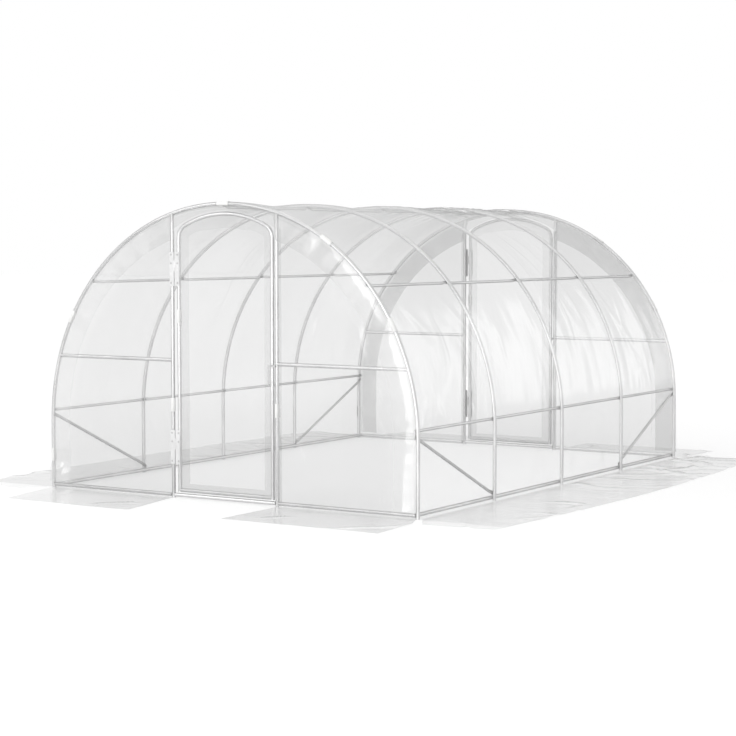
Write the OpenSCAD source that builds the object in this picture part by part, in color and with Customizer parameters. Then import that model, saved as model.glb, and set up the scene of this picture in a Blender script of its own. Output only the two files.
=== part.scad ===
// Polytunnel greenhouse: a steel hoop frame under a clear film cover, with a hinged
// film door in each end. X runs across, Y runs along (front end at -Y), Z is up.
// The origin is on the ground at the middle of the tunnel. Sizes are in millimetres.

/* [Hoops] */
// Width over the hoops at the ground
tunnel_w = 3000; // [2400:50:3600]
// Height of the straight leg under the curved part of a hoop
leg_h = 485; // [300:5:700]
// Distance from one hoop to the next
hoop_pitch = 1000; // [700:50:1300]
// Number of bays between hoops
bay_count = 4; // [3:1:6]
// Outside diameter of hoops, posts, door frames and ground rails
tube_d = 25; // [20:1:32]

/* [Purlins and braces] */
// Outside diameter of purlins and corner braces
purlin_d = 19; // [14:1:22]
// Angle of the side purlins above the top of the straight legs
side_purlin_deg = 2.5; // [1.5:0.5:6]
// Angle of the upper purlins above the top of the straight legs
upper_purlin_deg = 41; // [35:1:50]
// Clear drop from a side purlin to the top of a corner brace
brace_drop = 16; // [10:1:60]
// Clear height of the foot of a corner brace over the ground rail
brace_lift = 8; // [5:1:40]

/* [Ends] */
// Clear height under the ground rails
rail_lift = 10; // [0:1:14]
// Distance from the middle of the tunnel to the middle of a door post
post_x = 425; // [350:5:500]
// Height of the middle of the rail between post and hoop
end_rail_z = 931; // [800:1:1100]

/* [Doors] */
// Clear gap between post and door frame at the hinges
hinge_gap = 29; // [24:1:40]
// Clear gap between post and door frame at the free side
free_gap = 11; // [8:1:20]
// Clear height under the door frame
door_lift = 44; // [40:1:60]
// Clear gap between the top of the door frame and the hoop over it
door_head_gap = 40; // [30:1:80]
// Radius of the arched door top, at the middle of the tube
door_arch_r = 740; // [650:10:900]
// Radius of the rounded door corners, at the middle of the tube
door_corner_r = 90; // [60:5:120]
// Clear gap between the arched door top and the film over it
head_film_gap = 10; // [6:1:20]

/* [Hinges] */
// Height of a hinge leaf
leaf_h = 228; // [120:1:260]
// Thickness of a hinge leaf
leaf_t = 2.5; // [1.5:0.5:4]
// Height of the lower end of the lower hinge
lower_hinge_z = 232; // [150:1:400]
// Height of the lower end of the upper hinge
upper_hinge_z = 1428; // [1100:1:1500]
// Outside radius of the knuckles
knuckle_r = 5; // [4:0.5:7]
// Radius of the hinge pin
pin_r = 2.5; // [1.5:0.5:3]
// Length of the knuckle barrel
barrel_h = 72; // [50:1:100]
// Height of the barrel above the lower end of the leaf
barrel_up = 100; // [20:1:120]

/* [Latches] */
// Height of the middle of the latch arm
latch_z = 920; // [800:5:1100]
// Width of the latch bar
latch_w = 12; // [8:1:20]
// Thickness of the latch bar
latch_t = 3; // [2:0.5:5]
// Length of the grip that hangs down from the arm
latch_drop = 130; // [80:5:200]
// Gap between the latch arm and the film it passes
latch_off = 5.5; // [5:0.5:10]

/* [Film] */
// Thickness of the film sheets
film_t = 1.5; // [1:0.5:3]
// Width of the film skirts that lie on the ground along the sides, at the middle
side_skirt_w = 700; // [300:10:900]
// How far the side skirts bulge past their corners
skirt_bulge = 95; // [0:5:150]
// Width of the film skirts that lie on the ground at the ends
end_skirt_w = 620; // [300:10:800]

/* [Film clips] */
// Length of a clip along its tube
clip_l = 92; // [50:1:150]
// Wall thickness of a clip
clip_t = 2; // [1:0.5:3]

/* [Fits] */
// Gap between pieces that rest on each other
seat = 0.3; // [0.2:0.1:1]
// Radial clearance of the hinge pin in the door knuckle
pin_clear = 0.1; // [0.05:0.05:0.3]
// Gap between the ends of two knuckles
knuckle_gap = 0.5; // [0.3:0.1:1]

/* [Hidden] */
$fn = 64;

tube_r = tube_d / 2;
purlin_r = purlin_d / 2;
hoop_r = tunnel_w / 2 - tube_r;
end_y = bay_count * hoop_pitch / 2;

// Purlins run just inside the hoops.
purlin_run_r = hoop_r - tube_r - seat - purlin_r;

// The end film lies on the outer face of the end hoop and the posts.
end_film_y = end_y + tube_r + seat;
film_in_r = hoop_r + tube_r + seat;

// The door frame, at the middle of its tube.
door_left = -post_x + tube_d + hinge_gap;
door_right = post_x - tube_d - free_gap;
door_mid = (door_left + door_right) / 2;
door_half = (door_right - door_left) / 2;
door_bottom = door_lift + tube_r;
door_top = leg_h + hoop_r - tube_d - door_head_gap;
arch_z = door_top - door_arch_r;
corner_x = door_half - door_corner_r;
corner_up = sqrt(pow(door_arch_r - door_corner_r, 2) - pow(corner_x, 2));
corner_z = arch_z + corner_up;
corner_deg = atan2(corner_up, corner_x);

// Joints of the door frame's bent tube: the hairline between two stretches, and the
// plug inside them, by how far it lies inside the tube's skin and by its length.
joint_gap = 0.1;
plug_in = 2;
plug_l = 16;

// The hinge line, midway between post and door frame, just outside the film.
hinge_x = -post_x + (tube_d + hinge_gap) / 2;
leaf_y = end_film_y + film_t + seat;
hinge_y = leaf_y + leaf_t / 2;

// A leaf starts inside its knuckle and ends just short of the far side of its tube.
leaf_margin = 1;
leaf_in = knuckle_r - leaf_margin;
leaf_out = hinge_gap / 2 + tube_d - leaf_margin;
barrel_margin = 1;
knuckle_end = barrel_h / 4;
knuckle_mid = barrel_h / 2 - 2 * knuckle_gap;

// A clip's inner radius, over tube and film.
clip_in_r = tube_r + seat + film_t + seat;

// Height of the middle of the ground rails
ground_rail_z = rail_lift + tube_r;

// Places of the clips: angles on the end hoop (0 is at the top of the right leg),
// heights on the straight legs, the posts and the door's hinge-side stile.
hoop_clip_degs = [29, 57, 90, 151];
leg_clip_z = 232;
post_clip_z = 630;
door_clip_z = 1225;

// The skirts start at the foot of the film and flare at the corners of the tunnel.
skirt_in = film_in_r + film_t + seat;
side_skirt_out = film_in_r + film_t + side_skirt_w;
end_skirt_in = end_film_y + film_t + seat;
end_skirt_out = end_film_y + film_t + end_skirt_w;
side_flare = [138, 200];
skirt_corner_y = end_y + 140;
skirt_edge_steps = 12;
end_flare = [58, 185];
end_skirt_corner_x = 81;
left_lean = 125;

// ---- shared shapes ----

// Half ring about the Y axis from the outline its child draws (x outward, y along).
module over_top(from_deg = 0, to_deg = 180) {
    translate([0, 0, leg_h])
        rotate([90, 0, 0])
            rotate([0, 0, from_deg])
                rotate_extrude(angle = to_deg - from_deg, $fn = 256)
                    children();
}

// One hoop: two straight legs and a half circle. The front hoop is number 0.
module hoop(i) {
    color("gainsboro")
        translate([0, (i - bay_count / 2) * hoop_pitch, 0]) {
            over_top()
                translate([hoop_r, 0])
                    circle(r = tube_r);
            for (s = [-1, 1])
                translate([s * hoop_r, 0, 0])
                    cylinder(r = tube_r, h = leg_h);
        }
}

// Round bar of diameter d and length l along Y, centred on the middle of the tunnel.
module long_bar(d, x, z, l) {
    translate([x, l / 2, z])
        rotate([90, 0, 0])
            cylinder(d = d, h = l);
}

module purlin(deg) {
    color("gainsboro")
        long_bar(purlin_d, purlin_run_r * cos(deg), leg_h + purlin_run_r * sin(deg),
            2 * end_y + tube_d);
}

// Ground rail along one side: it stands inside the legs and butts the end rails.
module side_ground_rail(s) {
    color("gainsboro")
        long_bar(tube_d, s * (hoop_r - tube_d - seat), ground_rail_z,
            2 * (end_y - tube_r - seat));
}

// Corner brace: from the end hoop just under the side purlin down to the next foot.
module brace(s, e) {
    top = leg_h + purlin_run_r * sin(side_purlin_deg) - purlin_d - brace_drop;
    foot = ground_rail_z + tube_r + purlin_r + brace_lift;
    // Above the straight leg the hoop curves inward, and the brace stays inside it.
    run_x = sqrt(pow(purlin_run_r, 2) - pow(max(0, top - leg_h), 2));
    translate([s * run_x, e * end_y, top])
        rotate([e * atan2(hoop_pitch, foot - top), 0, 0])
            cylinder(d = purlin_d, h = norm([hoop_pitch, top - foot]));
}

module braces(s) {
    color("gainsboro")
        for (e = [-1, 1])
            brace(s, e);
}

// Everything at an end is drawn at the front and mirrored for the back.
module at_end(e) {
    mirror([0, e > 0 ? 1 : 0, 0])
        children();
}

module at_front_hoop() {
    translate([0, -end_y, 0])
        children();
}

// ---- end frames ----

module posts(e) {
    color("gainsboro")
        at_end(e)
            at_front_hoop()
                difference() {
                    for (s = [-1, 1])
                        translate([s * post_x, 0, 0])
                            cylinder(r = tube_r, h = leg_h + hoop_r);
                    over_top()
                        above_hoop();
                }
}

// Outline that trims a post or a rail to the inner side of the hoop.
module above_hoop() {
    translate([hoop_r, 0])
        circle(r = tube_r + seat);
    translate([hoop_r, -tube_d])
        square([hoop_r / 2, 2 * tube_d]);
}

module end_rails(e) {
    color("gainsboro")
        at_end(e)
            at_front_hoop()
                difference() {
                    for (s = [-1, 1])
                        translate([s > 0 ? post_x : -hoop_r, 0, end_rail_z])
                            rotate([0, 90, 0])
                                cylinder(r = tube_r, h = hoop_r - post_x);
                    over_top()
                        above_hoop();
                    for (s = [-1, 1])
                        translate([s * post_x, 0, 0])
                            cylinder(r = tube_r + seat, h = leg_h + hoop_r);
                }
}

// Ground rails of an end: foot to post on both sides, and the sill in the doorway.
module end_ground_rails(e) {
    side_l = hoop_r - post_x - tube_d - 2 * seat;
    sill_l = 2 * (post_x - tube_r - seat);
    color("gainsboro")
        at_end(e)
            at_front_hoop() {
                for (s = [-1, 1])
                    translate([s * (post_x + hoop_r) / 2 - side_l / 2, 0, ground_rail_z])
                        rotate([0, 90, 0])
                            cylinder(r = tube_r, h = side_l);
                translate([-sill_l / 2, 0, ground_rail_z])
                    rotate([0, 90, 0])
                        cylinder(r = tube_r, h = sill_l);
            }
}

// ---- doors ----

// Bent bar in the XZ plane about (x, z), from one angle to another, less its joints.
module bend(x, z, r, from_deg, to_deg) {
    trim = joint_gap / r * 90 / PI;
    translate([x, 0, z])
        rotate([90, 0, 0])
            rotate([0, 0, from_deg + trim])
                rotate_extrude(angle = to_deg - from_deg - 2 * trim, $fn = 192)
                    translate([r, 0])
                        circle(r = tube_r, $fn = 48);
}

// Plug inside the tube where one bent stretch meets the next, at an angle on the bend.
module plug(deg) {
    translate([corner_x + door_corner_r * cos(deg), 0, corner_z + door_corner_r * sin(deg)])
        rotate([0, -deg, 0])
            cylinder(r = tube_r - plug_in, h = plug_l, center = true);
}

module door_frame(e) {
    color("gainsboro")
        at_end(e)
            at_front_hoop()
                translate([door_mid, 0, 0]) {
                    for (s = [0, 1])
                        mirror([s, 0, 0]) {
                            translate([door_half, 0, door_lift])
                                cylinder(r = tube_r, h = corner_z - joint_gap / 2 - door_lift);
                            bend(corner_x, corner_z, door_corner_r, 0, corner_deg);
                            plug(0);
                            plug(corner_deg);
                        }
                    bend(0, arch_z, door_arch_r, corner_deg, 180 - corner_deg);
                    translate([-door_half, 0, door_bottom])
                        rotate([0, 90, 0])
                            cylinder(r = tube_r, h = 2 * door_half);
                }
}

// Points along a round stretch of an outline.
function arc(x, z, r, from_deg, to_deg, steps) = [for (i = [0 : steps])
    let (a = from_deg + (to_deg - from_deg) * i / steps)
    [x + r * cos(a), z + r * sin(a)]];

// Outline of the door along the middle line of its frame.
function door_outline() = concat(
    [[door_left, door_bottom], [door_right, door_bottom]],
    arc(door_mid + corner_x, corner_z, door_corner_r, 0, corner_deg, 8),
    arc(door_mid, arch_z, door_arch_r, corner_deg + 2, 178 - corner_deg, 24),
    arc(door_mid - corner_x, corner_z, door_corner_r, 180 - corner_deg, 180, 8));

// A flat sheet in an end plane from the outline its child draws.
module end_sheet() {
    translate([0, -end_film_y, 0])
        rotate([90, 0, 0])
            linear_extrude(height = film_t)
                children();
}

module door_film(e) {
    color("lightgray", 0.6)
        at_end(e)
            end_sheet()
                polygon(door_outline());
}

// ---- hinges ----

// The two hinges of a door, each drawn with the foot of its leaf at z = 0.
module hinge_pair(e) {
    color("silver")
        at_end(e)
            for (z = [lower_hinge_z, upper_hinge_z])
                translate([hinge_x, -hinge_y, z])
                    children();
}

// Flat leaf on one side of the pin (s = -1 post, 1 door), out to the far side of its tube.
module leaf(s) {
    translate([s > 0 ? leaf_in : -leaf_out, -leaf_t / 2, 0])
        cube([leaf_out - leaf_in, leaf_t, leaf_h]);
}

// Room around the barrel from one height above its foot to another.
module barrel_room(from_z, to_z) {
    half = knuckle_r + barrel_margin;
    translate([-half, -half, barrel_up + from_z])
        cube([2 * half, 2 * half, to_z - from_z]);
}

// Post side of a hinge: the leaf, the outer knuckles and the pin.
module post_hinges(e) {
    hinge_pair(e) {
        difference() {
            union() {
                leaf(-1);
                for (z = [0, barrel_h - knuckle_end])
                    translate([0, 0, barrel_up + z]) {
                        cylinder(r = knuckle_r, h = knuckle_end);
                        translate([-knuckle_r, -leaf_t / 2, 0])
                            cube([knuckle_r, leaf_t, knuckle_end]);
                    }
            }
            barrel_room(knuckle_end, barrel_h - knuckle_end);
        }
        translate([0, 0, barrel_up])
            cylinder(r = pin_r, h = barrel_h);
    }
}

// Door side of a hinge: the leaf and the middle knuckle, which turns on the pin.
module door_hinges(e) {
    hinge_pair(e)
        difference() {
            union() {
                leaf(1);
                translate([0, 0, barrel_up + knuckle_end + knuckle_gap])
                    cylinder(r = knuckle_r, h = knuckle_mid);
                translate([0, -leaf_t / 2, barrel_up + knuckle_end + knuckle_gap])
                    cube([knuckle_r, leaf_t, knuckle_mid]);
            }
            translate([0, 0, barrel_up])
                cylinder(r = pin_r + pin_clear, h = barrel_h);
            barrel_room(-knuckle_gap, knuckle_end + knuckle_gap);
            barrel_room(barrel_h - knuckle_end - knuckle_gap, barrel_h + knuckle_gap);
        }
}

// Latch: an arm bolted to the free stile that reaches over the post, and a grip below.
module door_latch(e) {
    inner = door_right - tube_r - latch_w;
    color("silver")
        at_end(e)
            translate([0, -end_film_y - film_t, 0]) {
                translate([inner, -latch_off - latch_t, latch_z - latch_w / 2])
                    cube([post_x - inner, latch_t, latch_w]);
                translate([inner, -latch_off - latch_t, latch_z + latch_w / 2 - latch_drop])
                    cube([latch_w, latch_t, latch_drop]);
                translate([door_right, -seat, latch_z])
                    rotate([90, 0, 0])
                        cylinder(d = latch_w, h = latch_off - seat);
            }
}

// ---- film clips ----

// Cross-section of a clip: a quarter sleeve over the outer corner of a tube.
module clip_section() {
    difference() {
        circle(r = clip_in_r + clip_t);
        circle(r = clip_in_r);
        translate([-2 * clip_in_r, -2 * clip_in_r])
            square([2 * clip_in_r, 4 * clip_in_r]);
        translate([-2 * clip_in_r, -2 * clip_in_r])
            square([4 * clip_in_r, 2 * clip_in_r]);
    }
}

// Clip on an upright tube: s = -1 turns it to the left, 1 to the right.
module straight_clip(x, z, s) {
    translate([x, 0, z - clip_l / 2])
        mirror([s < 0 ? 1 : 0, 0, 0])
            rotate([0, 0, -90])
                linear_extrude(height = clip_l)
                    clip_section();
}

module hoop_clip(deg) {
    half = clip_l / 2 / hoop_r * 180 / PI;
    over_top(deg - half, deg + half)
        translate([hoop_r, 0])
            clip_section();
}

module film_clips(e) {
    color("white")
        at_end(e)
            at_front_hoop() {
                for (a = hoop_clip_degs)
                    hoop_clip(a);
                straight_clip(-hoop_r, leg_clip_z, -1);
                straight_clip(-post_x, post_clip_z, 1);
                straight_clip(post_x, post_clip_z, -1);
            }
}

module door_clip(e) {
    color("white")
        at_end(e)
            at_front_hoop()
                straight_clip(door_left, door_clip_z, -1);
}

// ---- film cover ----

module wall_film(s) {
    color("lightgray", 0.6)
        translate([s > 0 ? film_in_r : -film_in_r - film_t, -end_y, 0])
            cube([film_t, 2 * end_y, leg_h - seat / 2]);
}

// Strip of the curved cover from one angle to another.
module arched_film(from_deg, to_deg) {
    seam = seat / film_in_r * 90 / PI;
    color("lightgray", 0.6)
        over_top(from_deg + seam, to_deg - seam)
            translate([film_in_r, -end_y])
                square([film_t, 2 * end_y]);
}

// Film of an end: a panel on each side of the doorway and a strip over it.
module end_outline() {
    intersection() {
        union() {
            translate([0, leg_h])
                circle(r = hoop_r, $fn = 256);
            translate([-hoop_r, 0])
                square([2 * hoop_r, leg_h]);
        }
        translate([-hoop_r, 0])
            square([2 * hoop_r, leg_h + hoop_r]);
    }
}

module end_film(e) {
    color("lightgray", 0.6)
        at_end(e)
            end_sheet() {
                difference() {
                    end_outline();
                    translate([-post_x, -1])
                        square([2 * post_x, leg_h + hoop_r + 2]);
                }
                difference() {
                    end_outline();
                    for (s = [-1, 1])
                        translate([s > 0 ? post_x - seat : -2 * hoop_r + seat - post_x, -1])
                            square([2 * hoop_r, leg_h + hoop_r + 2]);
                    translate([door_mid, arch_z])
                        circle(r = door_arch_r + tube_r + head_film_gap, $fn = 256);
                    translate([-hoop_r, -1])
                        square([2 * hoop_r, corner_z]);
                }
            }
}

// ---- skirts on the ground ----

// Side skirt: its long edge bulges outward and its corners flare past the ends.
module side_skirt(s) {
    edge = [for (i = [0 : skirt_edge_steps])
        let (t = i / skirt_edge_steps)
        [side_skirt_out - skirt_bulge * (1 - sin(180 * t)), skirt_corner_y * (2 * t - 1)]];
    color("lightgray")
        mirror([s < 0 ? 1 : 0, 0, 0])
            linear_extrude(height = film_t)
                polygon(concat(
                    [[skirt_in, -end_y], [skirt_in + side_flare[0], -end_y - side_flare[1]]],
                    edge,
                    [[skirt_in + side_flare[0], end_y + side_flare[1]], [skirt_in, end_y]]));
}

// The two skirts of an end, one on each side of the doorway.
module end_skirts(e) {
    color("lightgray")
        at_end(e)
            linear_extrude(height = film_t) {
                polygon([[-skirt_in, -end_skirt_in], [-post_x, -end_skirt_in],
                    [-post_x + left_lean, -end_skirt_out],
                    [-skirt_in + left_lean, -end_skirt_out]]);
                polygon([[post_x, -end_skirt_in], [skirt_in, -end_skirt_in],
                    [skirt_in + end_flare[0], -end_skirt_in - end_flare[1]],
                    [skirt_in + end_skirt_corner_x, -end_skirt_out], [post_x, -end_skirt_out]]);
            }
}

hoop(0);  // hoop_1
hoop(1);  // hoop_2
hoop(2);  // hoop_3
hoop(3);  // hoop_4
hoop(4);  // hoop_5
purlin(90);  // ridge_purlin
purlin(180 - upper_purlin_deg);  // left_upper_purlin
purlin(upper_purlin_deg);  // right_upper_purlin
purlin(180 - side_purlin_deg);  // left_side_purlin
purlin(side_purlin_deg);  // right_side_purlin
side_ground_rail(-1);  // left_ground_rail
side_ground_rail(1);  // right_ground_rail
braces(-1);  // left_braces
braces(1);  // right_braces
posts(-1);  // front_posts
posts(1);  // back_posts
end_rails(-1);  // front_end_rails
end_rails(1);  // back_end_rails
end_ground_rails(-1);  // front_ground_rails
end_ground_rails(1);  // back_ground_rails
door_frame(-1);  // front_door_frame
door_frame(1);  // back_door_frame
door_film(-1);  // front_door_film
door_film(1);  // back_door_film
post_hinges(-1);  // front_post_hinges
post_hinges(1);  // back_post_hinges
door_hinges(-1);  // front_door_hinges
door_hinges(1);  // back_door_hinges
door_latch(-1);  // front_door_latch
door_latch(1);  // back_door_latch
film_clips(-1);  // front_film_clips
film_clips(1);  // back_film_clips
door_clip(-1);  // front_door_clip
door_clip(1);  // back_door_clip
wall_film(-1);  // left_wall_film
arched_film(135, 180);  // left_shoulder_film
arched_film(90, 135);  // left_roof_film
arched_film(45, 90);  // right_roof_film
arched_film(0, 45);  // right_shoulder_film
wall_film(1);  // right_wall_film
end_film(-1);  // front_end_film
end_film(1);  // back_end_film
side_skirt(-1);  // left_skirt
side_skirt(1);  // right_skirt
end_skirts(-1);  // front_skirts
end_skirts(1);  // back_skirts
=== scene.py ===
import math

import bmesh
import bpy
import numpy as np
from mathutils import Matrix, Vector, noise


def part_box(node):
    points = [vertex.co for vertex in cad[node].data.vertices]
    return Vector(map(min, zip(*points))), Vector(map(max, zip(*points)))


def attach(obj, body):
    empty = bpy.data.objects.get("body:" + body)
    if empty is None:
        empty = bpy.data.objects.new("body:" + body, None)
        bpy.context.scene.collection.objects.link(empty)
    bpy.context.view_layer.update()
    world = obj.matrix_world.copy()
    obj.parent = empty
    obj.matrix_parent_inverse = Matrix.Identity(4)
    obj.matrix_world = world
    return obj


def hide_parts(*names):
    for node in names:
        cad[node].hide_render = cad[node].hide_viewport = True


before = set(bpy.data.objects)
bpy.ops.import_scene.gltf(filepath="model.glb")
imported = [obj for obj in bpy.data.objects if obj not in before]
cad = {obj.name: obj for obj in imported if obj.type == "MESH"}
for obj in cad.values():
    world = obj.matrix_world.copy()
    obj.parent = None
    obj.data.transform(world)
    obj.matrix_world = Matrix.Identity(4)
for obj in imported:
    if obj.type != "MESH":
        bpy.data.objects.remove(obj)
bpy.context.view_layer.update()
bpy.ops.object.select_all(action="DESELECT")


# ---- Bent tubes ----
# Hoops, door posts, end rails, ground rails and door frames are round steel tube, bent on
# a former and hot-dip galvanised: a pale grey zinc skin with a faint spangle and dull
# patches. Their shapes are the frame's own.

def shader(material, kind, **sockets):
    """Adds a shader node with its sockets set, and returns it."""
    made = material.node_tree.nodes.new(kind)
    for label, value in sockets.items():
        made.inputs[label.replace("_", " ")].default_value = value
    return made


def ramp(material, source, stops):
    """A colour ramp fed by a socket, with (place, grey) or (place, colour) stops."""
    made = material.node_tree.nodes.new("ShaderNodeValToRGB")
    while len(made.color_ramp.elements) < len(stops):
        made.color_ramp.elements.new(0.5)
    for element, (place, tone) in zip(made.color_ramp.elements, stops):
        element.position = place
        element.color = (*tone, 1) if hasattr(tone, "__len__") else (tone, tone, tone, 1)
    material.node_tree.links.new(source, made.inputs["Fac"])
    return made.outputs["Color"]


def grain(material, scale, detail=2.0, stretch=(1, 1, 1)):
    """Noise over the piece, with its bumps drawn out along an axis by stretch."""
    tree = material.node_tree
    place = tree.nodes.new("ShaderNodeTexCoord")
    spread = tree.nodes.new("ShaderNodeMapping")
    spread.inputs["Scale"].default_value = stretch
    made = shader(material, "ShaderNodeTexNoise", Scale=scale, Detail=detail)
    tree.links.new(place.outputs["Object"], spread.inputs["Vector"])
    tree.links.new(spread.outputs["Vector"], made.inputs["Vector"])
    return made.outputs["Fac"]


def bumps(material, height, strength, distance, under=None):
    """A bump from a height, laid over another bump if one is given."""
    made = shader(material, "ShaderNodeBump", Strength=strength, Distance=distance)
    material.node_tree.links.new(height, made.inputs["Height"])
    if under is not None:
        material.node_tree.links.new(under, made.inputs["Normal"])
    return made.outputs["Normal"]


def zinc(name, dark, light, metal=0.92):
    """Galvanised or plated steel, from its darkest to its lightest grey."""
    made = bpy.data.materials.new(name)
    made.use_nodes = True
    links = made.node_tree.links
    skin = made.node_tree.nodes["Principled BSDF"]
    skin.inputs["Metallic"].default_value = metal
    skin.inputs["Specular Tint"].default_value = (0.15, 0.15, 0.15, 1)
    spangle = grain(made, 90, 3)
    patches = grain(made, 5, 4)
    tones = ramp(made, patches, [(0.3, dark), (0.7, light)])
    mottled = made.node_tree.nodes.new("ShaderNodeMix")
    mottled.data_type = "RGBA"
    mottled.inputs["Factor"].default_value = 0.3
    links.new(tones, mottled.inputs["A"])
    links.new(ramp(made, spangle, [(0.35, dark), (0.65, light)]), mottled.inputs["B"])
    links.new(mottled.outputs["Result"], skin.inputs["Base Color"])
    links.new(ramp(made, spangle, [(0.2, 0.26), (0.8, 0.44)]), skin.inputs["Roughness"])
    links.new(bumps(made, spangle, 0.15, 0.0004), skin.inputs["Normal"])
    return made


tube_zinc = zinc("galvanised tube", 0.64, 0.81)


def finish_nodes(names, material):
    """Gives CAD nodes their finish."""
    for label in names:
        cad[label].data.materials.clear()
        cad[label].data.materials.append(material)


finish_nodes([f"hoop_{i}" for i in range(1, 6)], tube_zinc)
for end in ("front", "back"):
    finish_nodes([f"{end}_posts", f"{end}_end_rails", f"{end}_ground_rails",
                  f"{end}_door_frame"], tube_zinc)
finish_nodes(["left_ground_rail", "right_ground_rail"], tube_zinc)


# ---- Purlins and corner braces ----
# Thinner galvanised tube, cut to one bay, with both ends pressed flat and bolted to the
# inside of the hoops, each end lapped over its neighbour's. The braces run from the end
# hoop under the side purlin down to the foot of the next hoop.

hoop_low, hoop_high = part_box("hoop_1")
hoop_gauge = (hoop_high.y - hoop_low.y) / 2
hoop_r = (hoop_high.x - hoop_low.x) / 2 - hoop_gauge
spring_z = round(hoop_high.z - (hoop_high.x - hoop_low.x) / 2, 3)
hoop_boxes = [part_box(f"hoop_{i}") for i in range(1, 6)]
hoop_ys = [round((low.y + high.y) / 2, 4) for low, high in hoop_boxes]
end_y = hoop_ys[-1]
bays, bay = len(hoop_ys) - 1, hoop_ys[1] - hoop_ys[0]
purlin_gauge = (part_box("ridge_purlin")[1].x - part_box("ridge_purlin")[0].x) / 2
tab_lap, tab_thick = 0.016, 0.0034


def pick(piece, wanted):
    """In edit mode, selects the vertices that wanted(position) says."""
    shape = bmesh.from_edit_mesh(piece.data)
    for corner in shape.verts:
        corner.select = wanted(corner.co)
    shape.select_flush_mode()
    bmesh.update_edit_mesh(piece.data)


def begin_piece(name):
    """Names the primitive just added and opens it in edit mode, at the origin."""
    piece = bpy.context.object
    piece.name = name
    bpy.ops.object.transform_apply(location=True, rotation=True, scale=True)
    bpy.ops.object.mode_set(mode="EDIT")
    return piece


def flat_ended_tube(name, length):
    """Tube of one bay along Y, its ends pressed flat against what lies on its +Z side."""
    half = length / 2 + tab_lap
    bpy.ops.object.select_all(action="DESELECT")
    bpy.ops.mesh.primitive_cylinder_add(vertices=24, radius=purlin_gauge, depth=2 * half,
                                        rotation=(math.pi / 2, 0, 0))
    tube = begin_piece(name)
    rings = [0.034, 0.044, 0.056, 0.070]
    for side in (-1, 1):
        for ring in rings:
            bpy.ops.mesh.select_all(action="SELECT")
            bpy.ops.mesh.bisect(plane_co=(0, side * (half - ring), 0), plane_no=(0, 1, 0))
    flat = tab_thick / 2 / purlin_gauge
    steps = [(rings[0], 1.32, flat), (rings[1], 1.24, 0.45), (rings[2], 1.1, 0.8)]
    for side in (-1, 1):
        for ring, wide, tall in steps:
            outer = ring == rings[0]
            pick(tube, lambda at: (side * at.y > half - ring - 1e-4 if outer
                                   else abs(side * at.y - (half - ring)) < 1e-4))
            bpy.ops.transform.resize(value=(wide, 1, tall), center_override=(0, 0, 0))
            bpy.ops.transform.translate(value=(0, 0, purlin_gauge * (1 - tall)))
    bpy.ops.object.mode_set(mode="OBJECT")
    bpy.ops.object.shade_smooth_by_angle(angle=math.radians(40))
    return tube


def copy_of(piece, name, place):
    """A copy with its own mesh, with its place in the mesh."""
    made = bpy.data.objects.new(name, piece.data.copy())
    bpy.context.collection.objects.link(made)
    made.data.transform(place)
    return made


def joined(pieces, name, material=None):
    """Joins pieces into one."""
    bpy.ops.object.select_all(action="DESELECT")
    for piece in pieces:
        piece.select_set(True)
    bpy.context.view_layer.objects.active = pieces[0]
    if len(pieces) > 1:
        bpy.ops.object.join()
    whole = bpy.context.object
    whole.name = name
    whole.data.name = name
    if material is not None:
        whole.data.materials.clear()
        whole.data.materials.append(material)
    bpy.ops.object.select_all(action="DESELECT")
    return whole


def set_down(at, along, outward):
    """Place for a piece drawn along Y with its outer side up Z."""
    y = Vector(along).normalized()
    z = Vector(outward)
    z = (z - z.dot(y) * y).normalized()
    x = y.cross(z)
    turn = Matrix((x, y, z)).transposed().to_4x4()
    return Matrix.Translation(at) @ turn


purlin_zinc = zinc("galvanised purlin", 0.66, 0.80)
bay_tube = flat_ended_tube("bay_tube", bay)
purlin_bolts = []
for label in ("ridge_purlin", "left_upper_purlin", "right_upper_purlin",
              "left_side_purlin", "right_side_purlin"):
    low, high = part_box(label)
    x, z = (low.x + high.x) / 2, (low.z + high.z) / 2
    outward = Vector((x, 0, z - spring_z)).normalized()
    lengths = []
    for i in range(bays):
        step = tab_thick * (i % 2) * outward
        middle = Vector((x, (hoop_ys[i] + hoop_ys[i + 1]) / 2, z)) - step
        lengths.append(copy_of(bay_tube, f"{label}_{i}", set_down(middle, (0, 1, 0), outward)))
    for y in hoop_ys:
        purlin_bolts.append((Vector((x, y, z)) + (purlin_gauge - 2 * tab_thick) * outward,
                             -outward))
    made = joined(lengths, f"{label}_tubes", purlin_zinc)
    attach(made, "tunnel")
    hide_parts(label)

brace_zinc = zinc("galvanised brace", 0.52, 0.66)
brace_bolts = []
for side, s in (("left", -1), ("right", 1)):
    low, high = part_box(f"{side}_braces")
    x = (low.x + high.x) / 2
    top_z = high.z - purlin_gauge * 0.9
    foot_z = low.z + purlin_gauge * 0.9
    lengths = []
    for e in (-1, 1):
        top = Vector((x, e * end_y, top_z))
        foot = Vector((x, e * (end_y - bay), foot_z))
        tube = flat_ended_tube("brace_tube", (top - foot).length)
        outward = Vector((s, 0, 0))
        place = set_down((top + foot) / 2, top - foot, outward)
        lengths.append(copy_of(tube, f"{side}_brace", place))
        bpy.data.objects.remove(tube)
        for at in (top, foot):
            brace_bolts.append((at + (purlin_gauge - tab_thick) * outward, -outward))
    made = joined(lengths, f"{side}_brace_tubes", brace_zinc)
    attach(made, "tunnel")
    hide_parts(f"{side}_braces")
bpy.data.objects.remove(bay_tube)


# ---- Bolts ----
# Zinc-plated M6 bolts with a washer: one through each pair of flattened tube ends, and
# button heads that hold the hinge leaves and the latches to their tubes.

bolt_zinc = zinc("plated bolt", 0.48, 0.62, metal=0.9)
washer_t = 0.0012


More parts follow.
